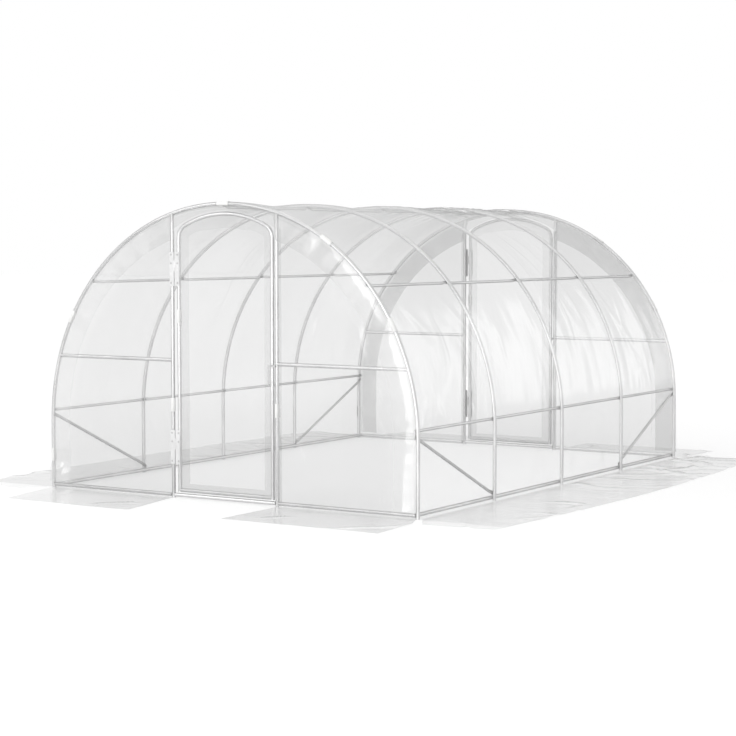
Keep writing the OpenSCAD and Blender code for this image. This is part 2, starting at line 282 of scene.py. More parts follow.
def bolt_head(name, sides, radius, height):
    """Head on its washer, drawn on the XY plane with its top up Z."""
    bpy.ops.object.select_all(action="DESELECT")
    bpy.ops.mesh.primitive_cylinder_add(vertices=sides, radius=radius, depth=height,
                                        location=(0, 0, washer_t + height / 2))
    head = begin_piece(name)
    pick(head, lambda at: at.z > washer_t + height - 1e-5)
    bpy.ops.mesh.inset(thickness=radius * 0.22, depth=radius * 0.12)
    bpy.ops.object.mode_set(mode="OBJECT")
    bpy.ops.object.select_all(action="DESELECT")
    bpy.ops.mesh.primitive_cylinder_add(vertices=16, radius=radius * 1.45, depth=washer_t,
                                        location=(0, 0, washer_t / 2))
    washer = begin_piece("washer")
    pick(washer, lambda at: at.z > washer_t - 0.0001)
    bpy.ops.mesh.bevel(offset=0.0003, segments=1, affect="EDGES")
    bpy.ops.object.mode_set(mode="OBJECT")
    return joined([head, washer], name, bolt_zinc)


def bolts(name, head, places, body):
    """Copies of a bolt head at (point, direction it faces), joined into one piece."""
    made = []
    for at, facing in places:
        side = Vector((0, 1, 0)) if abs(facing.y) < 0.9 else Vector((1, 0, 0))
        made.append(copy_of(head, name, set_down(at, side, facing)))
    whole = joined(made, name)
    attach(whole, body)
    return whole


hex_head = bolt_head("hex_head", 6, 0.0056, 0.0042)
bolts("purlin_bolts", hex_head, purlin_bolts + brace_bolts, "tunnel")
bpy.data.objects.remove(hex_head)


# ---- Hinges and latches ----
# Plated steel strap hinges, 228 mm leaves with a short rolled knuckle, three button heads
# in each leaf, and an L-shaped latch bar that turns on one bolt in the door frame.

hinge_zinc = zinc("plated hinge", 0.66, 0.82, metal=0.9)
latch_zinc = zinc("plated latch", 0.42, 0.58)
leaf_h, leaf_t = 0.228, 0.0025
leaf_bolt_heights = (0.020, 0.151, 0.209)
latch_half_width = 0.006
button_head = bolt_head("button_head", 14, 0.0046, 0.0024)
for end, e in (("front", -1), ("back", 1)):
    finish_nodes([f"{end}_post_hinges", f"{end}_door_hinges"], hinge_zinc)
    finish_nodes([f"{end}_door_latch"], latch_zinc)
    facing = Vector((0, e, 0))
    for part, body in (("post", "tunnel"), ("door", f"{end}_door")):
        low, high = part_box(f"{end}_{part}_hinges")
        rail_low, rail_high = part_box(f"{end}_posts" if part == "post" else f"{end}_door_frame")
        x = rail_low.x + hoop_gauge
        leaf_y = (low.y + high.y) / 2 + e * leaf_t / 2
        places = [(Vector((x, leaf_y, foot + up)), facing)
                  for foot in (low.z, high.z - leaf_h) for up in leaf_bolt_heights]
        if part == "door":
            latch_low, latch_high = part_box(f"{end}_door_latch")
            latch_y = latch_low.y if e < 0 else latch_high.y
            pivot = Vector((rail_high.x - hoop_gauge, latch_y, latch_high.z - latch_half_width))
            places.append((pivot, facing))
        bolts(f"{end}_{part}_hinge_bolts", button_head, places, body)
bpy.data.objects.remove(button_head)


# ---- Film clips ----
# White moulded sleeves, 92 mm long, with rounded lips and a slit down one side. Each is
# sprung over film and tube from the end side, and grips the tube through the film.

clip_white = bpy.data.materials.new("white clip")
clip_white.use_nodes = True
clip_skin = clip_white.node_tree.nodes["Principled BSDF"]
clip_skin.inputs["Roughness"].default_value = 0.38
clip_skin.inputs["Specular IOR Level"].default_value = 0.5
clip_tones = [(0.3, (0.84, 0.84, 0.83)), (0.7, (0.89, 0.89, 0.88))]
clip_white.node_tree.links.new(ramp(clip_white, grain(clip_white, 40, 3), clip_tones),
                               clip_skin.inputs["Base Color"])
clip_white.node_tree.links.new(bumps(clip_white, grain(clip_white, 700, 2), 0.1, 0.0002),
                               clip_skin.inputs["Normal"])
clip_inner, clip_wall, clip_length = 0.0146, 0.002, 0.092
clip_wrap = math.radians(310)

bpy.ops.object.select_all(action="DESELECT")
bpy.ops.mesh.primitive_cylinder_add(vertices=45, radius=clip_inner, depth=clip_length,
                                    end_fill_type="NOTHING", rotation=(math.pi / 2, 0, 0))
clip = begin_piece("clip")
clip_shape = bmesh.from_edit_mesh(clip.data)
for face in clip_shape.faces:
    centre = face.calc_center_median()
    face.select = abs(math.atan2(centre.x, centre.z)) > clip_wrap / 2
bmesh.update_edit_mesh(clip.data)
bpy.ops.mesh.delete(type="FACE")
bpy.ops.object.mode_set(mode="OBJECT")
wall = clip.modifiers.new("wall", "SOLIDIFY")
wall.thickness, wall.offset = clip_wall, 1
rounding = clip.modifiers.new("rounding", "BEVEL")
rounding.width, rounding.segments, rounding.limit_method = 0.0007, 2, "ANGLE"
for step in ("wall", "rounding"):
    bpy.ops.object.modifier_apply(modifier=step)
bpy.ops.object.shade_smooth_by_angle(angle=math.radians(35))

hoop_clip_angles = (29, 57, 90, 151)
leg_clip_z, post_clip_z, door_clip_z = 0.232, 0.630, 1.225
for end, e in (("front", -1), ("back", 1)):
    facing = (0, e, 0)
    places = []
    for angle in hoop_clip_angles:
        a = math.radians(angle)
        at = (hoop_r * math.cos(a), e * end_y, spring_z + hoop_r * math.sin(a))
        places.append(set_down(at, (-math.sin(a), 0, math.cos(a)), facing))
    post_low, post_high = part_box(f"{end}_posts")
    for x, z in ((-hoop_r, leg_clip_z), (post_low.x + hoop_gauge, post_clip_z),
                 (post_high.x - hoop_gauge, post_clip_z)):
        places.append(set_down((x, e * end_y, z), (0, 0, 1), facing))
    made = joined([copy_of(clip, "clip_copy", at) for at in places], f"{end}_clips", clip_white)
    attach(made, "tunnel")
    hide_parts(f"{end}_film_clips")
    stile_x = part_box(f"{end}_door_frame")[0].x + hoop_gauge
    at = set_down((stile_x, e * end_y, door_clip_z), (0, 0, 1), facing)
    made = joined([copy_of(clip, "clip_copy", at)], f"{end}_door_clip_sleeve", clip_white)
    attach(made, f"{end}_door")
    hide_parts(f"{end}_door_clip")
bpy.data.objects.remove(clip)


# ---- Film cover ----
# One wide sheet of clear polyethylene over all five hoops, from the ground on one side to
# the ground on the other, where it lies out as a skirt. It sags a little between the
# hoops, and its ends turn round the end hoops into a doubled band under the clips.

film_top = 2.0


def clear_film(name, haze, shade_by_height, shade_by_length, glint=0.72, band=0.0, rim=None):
    """Clear polyethylene: mostly see-through, with a soft haze and a gloss that grows
    towards the slant. What it lets through goes by height and along the tunnel, at shares
    of the way from end to end, as painted shade and painted light. band is painted light
    on the doubled band at the front, and rim is painted light that leaves the edge of an
    end sheet lighter than its middle, at shares of the hoop."""
    made = bpy.data.materials.new(name)
    made.use_nodes = True
    tree = made.node_tree
    tree.nodes.remove(tree.nodes["Principled BSDF"])
    output = tree.nodes["Material Output"]
    crinkle = bumps(made, grain(made, 26, 3, (1, 1, 0.4)), 0.25, 0.004)
    crinkle = bumps(made, grain(made, 130, 2), 0.12, 0.001, crinkle)
    through = shader(made, "ShaderNodeBsdfTransparent")
    gloss = shader(made, "ShaderNodeBsdfGlossy", Roughness=0.16)
    facing = shader(made, "ShaderNodeLayerWeight", Blend=0.5)
    tree.links.new(crinkle, gloss.inputs["Normal"])
    tree.links.new(crinkle, facing.inputs["Normal"])
    shine = tree.nodes.new("ShaderNodeMixShader")
    tree.links.new(ramp(made, facing.outputs["Facing"],
                        [(0.0, 0.045), (0.35, 0.06), (0.65, 0.17), (0.85, 0.42), (1.0, 0.8)]),
                   shine.inputs["Fac"])
    tree.links.new(through.outputs["BSDF"], shine.inputs[1])
    tree.links.new(gloss.outputs["BSDF"], shine.inputs[2])
    front = shader(made, "ShaderNodeBsdfDiffuse", Color=(0.82, 0.82, 0.82, 1))
    back = shader(made, "ShaderNodeBsdfTranslucent", Color=(0.82, 0.82, 0.82, 1))
    cloudy = tree.nodes.new("ShaderNodeMixShader")
    cloudy.inputs["Fac"].default_value = 0.5
    tree.links.new(front.outputs["BSDF"], cloudy.inputs[1])
    tree.links.new(back.outputs["BSDF"], cloudy.inputs[2])
    position = tree.nodes.new("ShaderNodeSeparateXYZ")
    place = tree.nodes.new("ShaderNodeTexCoord")
    tree.links.new(place.outputs["Object"], position.inputs["Vector"])
    height = tree.nodes.new("ShaderNodeMapRange")
    height.inputs["From Max"].default_value = film_top
    tree.links.new(position.outputs["Z"], height.inputs["Value"])
    length = tree.nodes.new("ShaderNodeMapRange")
    length.inputs["From Min"].default_value = -end_y - 0.02
    length.inputs["From Max"].default_value = end_y + 0.02
    tree.links.new(position.outputs["Y"], length.inputs["Value"])

    def mixed(blend, first, second):
        both = tree.nodes.new("ShaderNodeMix")
        both.data_type, both.blend_type = "RGBA", blend
        both.inputs["Factor"].default_value = 1
        tree.links.new(first, both.inputs["A"])
        tree.links.new(second, both.inputs["B"])
        return both.outputs["Result"]

    # Painted shade and painted light: what passes through is darkened or lightened by height and along
    # the tunnel.
    heights = [(z / film_top, tone) for z, tone in shade_by_height]
    shaded_let_through = mixed("MULTIPLY", ramp(made, height.outputs["Result"], heights),
                        ramp(made, length.outputs["Result"], shade_by_length))
    # rim is painted light: the edge of an end sheet, under the band, is left lighter than its middle.
    if rim is not None:
        above = shader(made, "ShaderNodeMath")
        above.operation = "SUBTRACT"
        above.inputs[1].default_value = spring_z
        above.use_clamp = True
        tree.links.new(position.outputs["Z"], above.inputs[0])
        spoke = tree.nodes.new("ShaderNodeCombineXYZ")
        tree.links.new(position.outputs["X"], spoke.inputs["X"])
        tree.links.new(above.outputs["Value"], spoke.inputs["Z"])
        radius = tree.nodes.new("ShaderNodeVectorMath")
        radius.operation = "LENGTH"
        tree.links.new(spoke.outputs["Vector"], radius.inputs[0])
        share = tree.nodes.new("ShaderNodeMapRange")
        share.inputs["From Max"].default_value = hoop_r
        tree.links.new(radius.outputs["Value"], share.inputs["Value"])
        shaded_let_through = mixed("MULTIPLY", shaded_let_through, ramp(made, share.outputs["Result"], rim))
    glints = ramp(made, height.outputs["Result"], [(0, 0.84), (0.015, glint)])
    # Near the front end, what passes through is lifted to band, as painted light on the doubled band,
    # and the gloss colour is lifted to full.
    for base, lightest, skin in ((shaded_let_through, band, through), (glints, 1.0, gloss)):
        at_front = ramp(made, length.outputs["Result"], [(0.002, lightest), (0.005, 0)])
        tree.links.new(mixed("LIGHTEN", base, at_front), skin.inputs["Color"])
    film = tree.nodes.new("ShaderNodeMixShader")
    tree.links.new(ramp(made, grain(made, 3, 3), [(0.3, haze * 0.85), (0.7, haze * 1.15)]),
                   film.inputs["Fac"])
    tree.links.new(shine.outputs["Shader"], film.inputs[1])
    tree.links.new(cloudy.outputs["Shader"], film.inputs[2])
    tree.links.new(film.outputs["Shader"], output.inputs["Surface"])
    return made


def rumple(u, v, size_u, size_v, seed):
    """Smooth random height over a sheet, about -0.7 to 0.7, in bumps of that size."""
    u, v = np.broadcast_arrays(u, v)
    spots = np.stack([u.ravel() / size_u, v.ravel() / size_v, np.full(u.size, 7.31 * seed)], 1)
    return np.array([noise.noise(spot) for spot in spots.tolist()]).reshape(u.shape)


def creases(u, v, size_u, size_v, seed, width=0.16):
    """Thin raised creases, 0 to 1, along the level lines of a rumple."""
    ridge = np.clip(1 - np.abs(rumple(u, v, size_u, size_v, seed)) / width, 0, 1)
    return ridge * ridge * (3 - 2 * ridge)


def ease(value, start, end):
    """0 before start, 1 after end, smooth between."""
    t = np.clip((value - start) / (end - start), 0, 1)
    return t * t * (3 - 2 * t)


def sheet_mesh(name, patches, material):
    """Sheet from patches of points (rows, columns, 3), each with the faces to keep."""
    corners, faces, start = [], [], 0
    for points, keep in patches:
        rows, columns = points.shape[:2]
        index = start + np.arange(rows * columns).reshape(rows, columns)
        quads = np.stack([index[:-1, :-1], index[:-1, 1:], index[1:, 1:], index[1:, :-1]], -1)
        corners.append(points.reshape(-1, 3))
        faces.append(quads[keep])
        start += rows * columns
    mesh = bpy.data.meshes.new(name)
    mesh.from_pydata(np.concatenate(corners).tolist(), [], np.concatenate(faces).tolist())
    shape = bmesh.new()
    shape.from_mesh(mesh)
    bmesh.ops.remove_doubles(shape, verts=shape.verts, dist=0.00002)
    loose = [corner for corner in shape.verts if not corner.link_faces]
    bmesh.ops.delete(shape, geom=loose, context="VERTS")
    for face in shape.faces:
        face.smooth = True
    for edge in shape.edges:
        if len(edge.link_faces) == 2 and edge.calc_face_angle() > 2:
            edge.smooth = False
    shape.to_mesh(mesh)
    shape.free()
    made = bpy.data.objects.new(name, mesh)
    bpy.context.collection.objects.link(made)
    mesh.materials.append(material)
    return made


# Painted shade: darker on the skirts, towards the top of the roof, and most over the back band.
# Painted light: the front band is kept clear.
film_clear = clear_film(
    "clear film", 0.07, [(0, 0.98), (0.03, 1.0), (1.2, 1.0), (1.8, 0.96)],
    [(0.002, 1.0), (0.005, 0.97), (0.995, 0.97), (0.998, 0.91)], band=1.0)

cover_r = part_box("right_wall_film")[0].x + 0.0007
fold_r = cover_r - hoop_r
foot_r = 0.016
ground_z = 0.0012
skirt_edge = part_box("right_skirt")[1].x
flap_width = 0.19
flap_over_door = 0.046
post_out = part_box("front_posts")[1].x

# The cover's section, from the outer edge of the right skirt over to that of the left.
skirt_rows, wall_rows, arc_rows, foot_rows = 30, 15, 124, 4
section = []
for i in range(skirt_rows):
    section.append(("skirt", 1 - i / skirt_rows))
for i in range(foot_rows + 1):
    section.append(("foot", i / foot_rows))
for i in range(1, wall_rows + 1):
    section.append(("wall", i / wall_rows))
for i in range(1, arc_rows):
    section.append(("arc", i / arc_rows))
for i in range(wall_rows):
    section.append(("wall_left", 1 - i / wall_rows))
for i in range(foot_rows + 1):
    section.append(("foot_left", 1 - i / foot_rows))
for i in range(1, skirt_rows + 1):
    section.append(("skirt_left", i / skirt_rows))

# Across each row: the hem turned back on itself, the band, the turn round the end hoop,
# the stretch over the hoops, and the same again at the other end.
hem_steps, band_steps, turn_steps, run_steps = 9, 12, 5, 316
run = [("run", -1 + 2 * i / run_steps) for i in range(run_steps + 1)]
turn = [("turn", i / turn_steps) for i in range(1, turn_steps + 1)]
band = [("band", i / band_steps) for i in range(1, band_steps + 1)]
hem = [("hem", i / hem_steps) for i in range(1, hem_steps + 1)]
columns = ([(kind, -1, t) for kind, t in reversed(turn + band + hem)]
           + [(kind, 0, t) for kind, t in run] + [(kind, 1, t) for kind, t in turn + band + hem])

rows_n, columns_n = len(section), len(columns)
kind_of = np.array([kind for kind, side, t in columns])
side_of = np.array([side for kind, side, t in columns])
t_of = np.array([t for kind, side, t in columns])
cover = np.zeros((rows_n, columns_n, 3))

wall_length = spring_z - foot_r
corner_at, corner_length = 0.138, 0.467
corner_reach, corner_taper, corner_round = 0.2, 0.06, 0.095
turn_share, hem_share = 0.12, 0.86
gather_h, stand_off = 0.75, 0.034
roll_t = (0, 0.15, 0.3, 0.45, 0.6, 0.8, 1)
roll_hoop = (0, 0.0038, 0.0070, 0.0070, 0.0060, 0.0042, 0.0020)
roll_foot = (0, 0.0030, 0.0072, 0.0118, 0.0160, 0.0100, 0.0020)
for row, (zone, t) in enumerate(section):
    s = -1 if zone.endswith("left") else 1
    zone = zone.replace("_left", "")
    if zone == "skirt":
        # Laid out on the ground, t of the way to its edge. The row runs past the end hoop,
        # furthest where the corner is cut off.
        out = t * (skirt_edge - cover_r - foot_r)
        past_end = corner_reach * min(1, out / corner_at) - 0.04 * t
        past_end = past_end - corner_taper * max(0, (out - corner_at) / corner_length)
        share = np.where(kind_of == "turn", turn_share * t_of, 0)
        share = np.where(kind_of == "band", turn_share + (1 - turn_share) * t_of, share)
        share = np.where(kind_of == "hem", 1.0, share)
        row_end = end_y * (1 + 0.02 * t)
        y = np.where(kind_of == "run", t_of, 0) * row_end + side_of * (row_end + share * past_end)
        drawn_in = 1 - np.cos(math.pi / 2 * np.clip(np.abs(y) / (end_y + 0.14), 0, 1))
        x = cover_r + foot_r + out - corner_round * t * drawn_in
        cover[row] = np.stack([s * x, y, np.full(columns_n, ground_z)], 1)
        continue
    to_clip = 1.0
    if zone == "foot":
        a = t * math.pi / 2
        px, pz = cover_r + foot_r * (1 - math.sin(a)), ground_z + foot_r * (1 - math.cos(a))
        out_x, out_z = math.sin(a), math.cos(a)
    elif zone == "wall":
        px, pz = cover_r, foot_r + t * wall_length
        out_x, out_z = 1.0, 0.0
        if s < 0:
            to_clip = abs(pz - leg_clip_z)
    else:
        a = t * math.pi
        px, pz = cover_r * math.cos(a), spring_z + cover_r * math.sin(a)
        out_x, out_z = math.cos(a), math.sin(a)
        s = 1
        to_clip = cover_r * min(abs(a - math.radians(angle)) for angle in hoop_clip_angles)
    # Over the door the band is trimmed back, so that the door swings clear of it.
    width = flap_width
    if pz > spring_z and abs(px) < post_out + 0.04:
        widening = float(ease(abs(px), post_out - 0.004, post_out + 0.034))
        width = flap_over_door + (flap_width - flap_over_door) * widening
    straight = width - fold_r * math.pi / 2
    radial = np.zeros(columns_n)
    y = np.zeros(columns_n)
    is_run = kind_of == "run"
    y[is_run] = t_of[is_run] * end_y
    turning = kind_of == "turn"
    radial[turning] = -fold_r * (1 - np.cos(t_of[turning] * math.pi / 2))
    # At the foot the turn stands off the leg, where the film is gathered into the skirt.
    # Under a clip it is pinned to the tube.
    pinned = float(ease(to_clip, 0.040, 0.085))
    at_foot = float(np.clip((gather_h - pz) / gather_h, 0, 1)) ** 2
    off_leg = stand_off * at_foot * pinned
    y[turning] = (side_of * (end_y + (fold_r + off_leg) * np.sin(t_of * math.pi / 2)))[turning]
    flat = kind_of == "band"
    radial[flat] = -fold_r - t_of[flat] * straight
    roll = at_foot * np.array(roll_foot) + (1 - at_foot) * np.array(roll_hoop)
    roll = roll * pinned * min(1, width / 0.15) + off_leg * np.array((1, 1, 1, 1, 0.9, 0.5, 0.2))
    y[flat] = (side_of * (end_y + fold_r + 0.0006 + np.interp(t_of, roll_t, roll)))[flat]
    back = kind_of == "hem"
    radial[back] = -fold_r - (1 - hem_share * t_of[back]) * straight
    y[back] = (side_of * (end_y + fold_r - 0.0002
                          + 0.8 * np.interp(1 - hem_share * t_of, roll_t, roll)))[back]
    cover[row] = np.stack([s * px + s * out_x * radial if zone != "arc" else px + out_x * radial,
                           y, pz + out_z * radial], 1)

# Relief: sag between the hoops, long folds down the sides, creases, rumpled skirts. S runs
# along the section from skirt edge to skirt edge, and Y along the tunnel.
zone_of = np.array([zone for zone, t in section])
standing = np.isin(zone_of, ["foot", "wall", "arc", "wall_left", "foot_left"])
centre_line = cover[:, columns_n // 2]
steps = np.linalg.norm(np.diff(centre_line, axis=0), axis=1)
along_s = np.concatenate([[0], np.cumsum(steps)])
S, Y = np.broadcast_arrays(along_s[:, None], cover[:, :, 1])
X, Z = cover[:, :, 0], cover[:, :, 2]
outward = np.zeros_like(cover)
angle = np.arctan2(np.maximum(Z - spring_z, 0), X)
outward[..., 0] = np.where(Z > spring_z, np.cos(angle), np.sign(X))
outward[..., 2] = np.where(Z > spring_z, np.sin(angle), 0)
roofness = np.where(Z > spring_z, np.sin(angle) ** 2, 0)
in_bay = (np.clip(Y, -end_y, end_y) + end_y) / bay
in_bay = in_bay - np.floor(np.minimum(in_bay, bays - 0.0001))
to_hoop = np.minimum(in_bay, 1 - in_bay) * bay
free = ease(to_hoop, 0.008, 0.16)
sag = (0.004 + 0.017 * roofness) * np.sin(np.pi * in_bay) ** 1.6
folds = 0.0075 * rumple(S + 0.4 * Y, Y, 1.1, 0.22, 1) + 0.0018 * rumple(S + 0.3 * Y, Y, 0.6, 0.10, 2)
right_side = ease(X, 0.6, 1.2) * ease(Y, -1.1, -0.1)
folds = folds * (1 - 0.8 * roofness) * (0.6 + 1.3 * right_side)
patch = ease(rumple(S, Y, 0.9, 0.9, 5), -0.05, 0.35)
drawn = 0.0085 * creases(S + 0.6 * Y, Y, 1.0, 0.36, 3, 0.12)
drawn = drawn + 0.0060 * creases(S - 0.9 * Y, Y, 0.8, 0.45, 4, 0.08)
folds = folds + drawn * patch * (1 - 0.85 * roofness) * (0.35 + 0.65 * ease(X, -0.3, 0.9))
ridge_crumple = ease(np.abs(X), 0.75, 0.15) * ease(Z, 1.6, 1.9) * ease(Y, -0.4, 0.5)
folds = folds + 0.011 * creases(S, Y, 0.16, 0.11, 6, 0.22) * ridge_crumple
most_in, most_out = 0.0235, 0.012
relief = np.clip((folds - sag) * free, -most_in, most_out)
floor_free = ease(Z, 0.02, 0.14)
relief = relief * np.where(Z < 0.3, 0.25 + 0.75 * floor_free, 1)
relief = np.where((kind_of == "run")[None, :] & standing[:, None], relief, 0)
cover = cover + outward * relief[..., None]

# The band takes small gathers where the longer edge is drawn in round the hoop.
flap = np.isin(kind_of, ["band", "hem"])
depth_in = np.where(kind_of == "hem", 1 - hem_share * t_of, 0)
depth_in = np.where(kind_of == "band", t_of, depth_in)
gathers = 0.0045 * rumple(S, Y * 0, 0.04, 1, 8) + 0.0040 * rumple(S, Y * 0, 0.11, 1, 9)
gathers = (gathers + 0.0028) * np.sin(math.pi * 0.75 * depth_in[None, :]) * side_of[None, :]
gathers = gathers * np.where(np.abs(X) < 0.6, 0.35, 1) * (0.3 + 0.7 * ease(Z, 0.15, gather_h))
cover[..., 1] += np.where(standing[:, None] & flap[None, :], gathers, 0)
nearest = end_y + fold_r + np.where(kind_of == "band", 0.0014, 0.0006)[None, :]
cover[..., 1] = np.where(standing[:, None] & flap[None, :],
                         side_of * np.maximum(np.abs(cover[..., 1]), nearest), cover[..., 1])

laid = ~standing
reach_out = np.clip((np.abs(X) - cover_r) / (skirt_edge - cover_r), 0, 1)
waves = 0.004 * np.abs(rumple(np.abs(X) + 0.25 * Y, Y, 0.8, 0.25, 11))
some = ease(rumple(X, Y, 0.5, 0.6, 13), -0.1, 0.3)
waves = waves + 0.014 * creases(np.abs(X) - 0.35 * Y, Y, 0.5, 0.34, 12, 0.12) * some
waves = waves + 0.012 * creases(np.abs(X) - 0.6 * Y, Y, 0.5, 0.40, 17, 0.10) * ease(Y, -0.6, 1.2)
waves = waves + 0.0012 * np.abs(rumple(X, Y, 0.12, 0.1, 14))
waves = waves * ease(reach_out, 0.0, 0.12) * (1 - 0.65 * ease(reach_out, 0.85, 1.0))
cover[..., 2] += np.where(laid[:, None], waves, 0)
wander = 0.014 * rumple(X * 0, Y, 1, 0.35, 15) + 0.006 * rumple(X * 0, Y, 1, 0.09, 16)
cover[..., 0] -= np.where(laid[:, None], np.sign(X) * np.abs(wander) * reach_out ** 2, 0)

# At the feet only the stretch over the hoops goes on into the skirt, and a skirt has no hem.
keep = np.ones((rows_n - 1, columns_n - 1), bool)
stands = standing[:-1] & standing[1:]
is_run_column = (kind_of[:-1] == "run") & (kind_of[1:] == "run")
crossing = standing[:-1] != standing[1:]
foot_row = np.char.startswith(zone_of, "foot")
by_foot = foot_row[:-1] | foot_row[1:]
keep[np.ix_(crossing | (by_foot & stands), ~is_run_column)] = False
no_hem = np.isin(kind_of[:-1], ["hem"]) | np.isin(kind_of[1:], ["hem"])
keep[np.ix_(~stands, no_hem)] = False
film_cover = sheet_mesh("film_cover", [(cover, keep)], film_clear)
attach(film_cover, "tunnel")
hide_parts("left_wall_film", "left_shoulder_film", "left_roof_film",
            "right_roof_film", "right_shoulder_film", "right_wall_film",
            "left_skirt", "right_skirt")


# ---- End films ----
# Each end has its own sheet: a panel on each side of the doorway and a strip over it, laid
# on the hoop under the band of the cover and turned round the door posts. At the bottom
# each panel turns out on to the ground as a skirt.

door_arch_r, door_head_gap = 0.740, 0.010
turn_r = 0.014
skirt_end_y = 2.630
left_skirt_shift, right_skirt_flare = 0.125, 0.078


def end_film(name, e, seed, film):
    """Sheet of one end: e is -1 at the front and 1 at the back."""
    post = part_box(f"{name}_posts")[1].x - hoop_gauge
    rail_low, rail_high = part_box(f"{name}_end_rails")
    sill_low, sill_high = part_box(f"{name}_ground_rails")
    rail_z, sill_z = (rail_low.z + rail_high.z) / 2, (sill_low.z + sill_high.z) / 2
    face_y = end_y + hoop_gauge + 0.0007
    door_low, door_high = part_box(f"{name}_door_frame")
    door_mid = (door_low.x + door_high.x) / 2
    head_r = door_arch_r + hoop_gauge + door_head_gap
    head_z = door_high.z - hoop_gauge - door_arch_r
    strip_rows, panel_rows, turn_rows, skirt_out_rows = 8, 112, 5, 34
    panel_columns = 108

    def top_of(x):
        """Height of the end hoop over x."""
        return spring_z + np.sqrt(np.maximum(hoop_r ** 2 - x ** 2, 0))

    def head_of(x):
        """Height of the doorway's head over x."""
        return head_z + np.sqrt(head_r ** 2 - (x - door_mid) ** 2)

    def stand(x, z):
        """Outward displacement of the standing film."""
        radius = np.hypot(x, np.maximum(z - spring_z, 0))
        edge = np.where(z > spring_z, hoop_r - radius, hoop_r - np.abs(x))
        near = np.minimum(edge, np.abs(np.abs(x) - post))
        near = np.minimum(near, np.abs(z - rail_z) + 0.012)
        near = np.minimum(near, np.abs(z - sill_z))
        loose = ease(near, 0.016, 0.16) * ease(edge, 0.17, 0.30)
        swell = 0.006 + 0.006 * rumple(x, z, 0.8, 0.9, seed)
        drape = 0.0030 * rumple(x + 0.15 * z, z, 0.16, 1.3, seed + 1)
        slack = 0.0014 * rumple(x - 0.3 * z, z, 0.09, 0.6, seed + 2)
        drawn = 0.0045 * creases(x + 0.6 * z, z - 0.2 * x, 0.35, 0.8, seed + 3, 0.1)
        drawn = drawn + 0.0035 * creases(x - 0.9 * z, z, 0.4, 0.6, seed + 4, 0.08)
        where = ease(rumple(x, z, 0.6, 0.6, seed + 5), -0.1, 0.3)
        drape = drape * (1.3 - 0.4 * ease(z, 0.2, 1.4))
        return (swell + drape + slack * where + drawn * where) * loose

    patches = []
    for side in (-1, 1):
        edge_x = side * post
        low_z = ground_z + turn_r
        head_share = (top_of(edge_x) - head_of(edge_x)) / (top_of(edge_x) - low_z)
        t = np.concatenate([np.linspace(0, head_share, strip_rows + 1),
                            np.linspace(head_share, 1, panel_rows + 1)[1:]])
        phi = np.linspace(math.asin(post / hoop_r), math.pi / 2, panel_columns)
        x = side * hoop_r * np.sin(phi)
        if side < 0:
            x = x[::-1]
        z = low_z + (top_of(x)[None, :] - low_z) * (1 - t[:, None])
        X, Z = np.broadcast_arrays(x[None, :], z)
        y = -face_y - stand(X, Z)
        standing_part = np.stack([X, y, Z], -1)
        # The turn on to the ground, then the skirt.
        base_y = y[-1]
        a = np.linspace(0, math.pi / 2, turn_rows + 1)[1:, None]
        turn_part = np.stack([np.broadcast_to(x, (turn_rows, x.size)),
                              base_y - turn_r * (1 - np.cos(a)),
                              np.broadcast_to(low_z - turn_r * np.sin(a), (turn_rows, x.size))], -1)
        q = (np.arange(1, skirt_out_rows + 1) / skirt_out_rows)[:, None]
        start_y = end_y + 0.030
        out_y = start_y + q * (skirt_end_y - start_y)
        if side < 0:
            skirt_x = x[None, :] + left_skirt_shift * q
        else:
            share = (x[None, :] - post) / (hoop_r - post)
            skirt_x = x[None, :] + share * (right_skirt_flare * np.minimum(1, q * 3.2) + 0.018 * q)
        SX, SY = np.broadcast_arrays(skirt_x, out_y)
        hills = 0.004 * np.abs(rumple(SX + 0.2 * SY, SY, 0.3, 0.6, seed + 6))
        some = ease(rumple(SX, SY, 0.4, 0.4, seed + 8), -0.05, 0.3)
        hills = hills + 0.012 * creases(SX + 0.5 * SY, SY, 0.35, 0.5, seed + 7, 0.10) * some
        hills = hills + 0.0012 * np.abs(rumple(SX, SY, 0.1, 0.1, seed + 9))
        hills = hills * ease(q, 0.0, 0.15) * (1 - 0.6 * ease(q, 0.88, 1))
        ragged = 0.010 * rumple(SX, SY * 0, 0.3, 1, seed + 10) * q ** 3
        skirt_part = np.stack([SX, -SY + ragged, ground_z + hills], -1)
        points = np.concatenate([standing_part, turn_part, skirt_part])
        kept = np.ones((points.shape[0] - 1, points.shape[1] - 1), bool)
        patches.append((points, kept))
        # Round the post and a short way back along the inside.
        wrap_rows = t.size - strip_rows
        wz = z[strip_rows:, 0 if side > 0 else -1]
        wrap_r = face_y - end_y
        psi = np.linspace(0, math.pi, 9)
        wx = np.concatenate([edge_x - side * wrap_r * np.sin(psi),
                             edge_x + side * np.array([0.012, 0.026])])
        wy = np.concatenate([-end_y - wrap_r * np.cos(psi),
                             -end_y + wrap_r - np.array([0, 0.001])])
        wrap = np.stack([np.broadcast_to(wx, (wrap_rows, wx.size)),
                         np.broadcast_to(wy, (wrap_rows, wx.size)),
                         np.broadcast_to(wz[:, None], (wrap_rows, wx.size))], -1)
        if side > 0:
            wrap = wrap[:, ::-1]
        patches.append((wrap, np.ones((wrap_rows - 1, wx.size - 1), bool)))
    # The strip over the door.
    x = np.linspace(-post, post, 61)
    k = (np.arange(strip_rows + 1) / strip_rows)[:, None]
    z = top_of(x)[None, :] + (head_of(x) - top_of(x))[None, :] * k
    X, Z = np.broadcast_arrays(x[None, :], z)
    strip = np.stack([X, np.full(X.shape, -face_y), Z], -1)
    patches.append((strip, np.ones((strip_rows, x.size - 1), bool)))
    if e > 0:
        patches = [(points * np.array([1, -1, 1]), kept) for points, kept in patches]
        patches = [(points[:, ::-1], kept[:, ::-1]) for points, kept in patches]
    made = sheet_mesh(f"{name}_end_sheet", patches, film)
    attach(made, "tunnel")
    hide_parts(f"{name}_end_film", f"{name}_skirts")
    return made


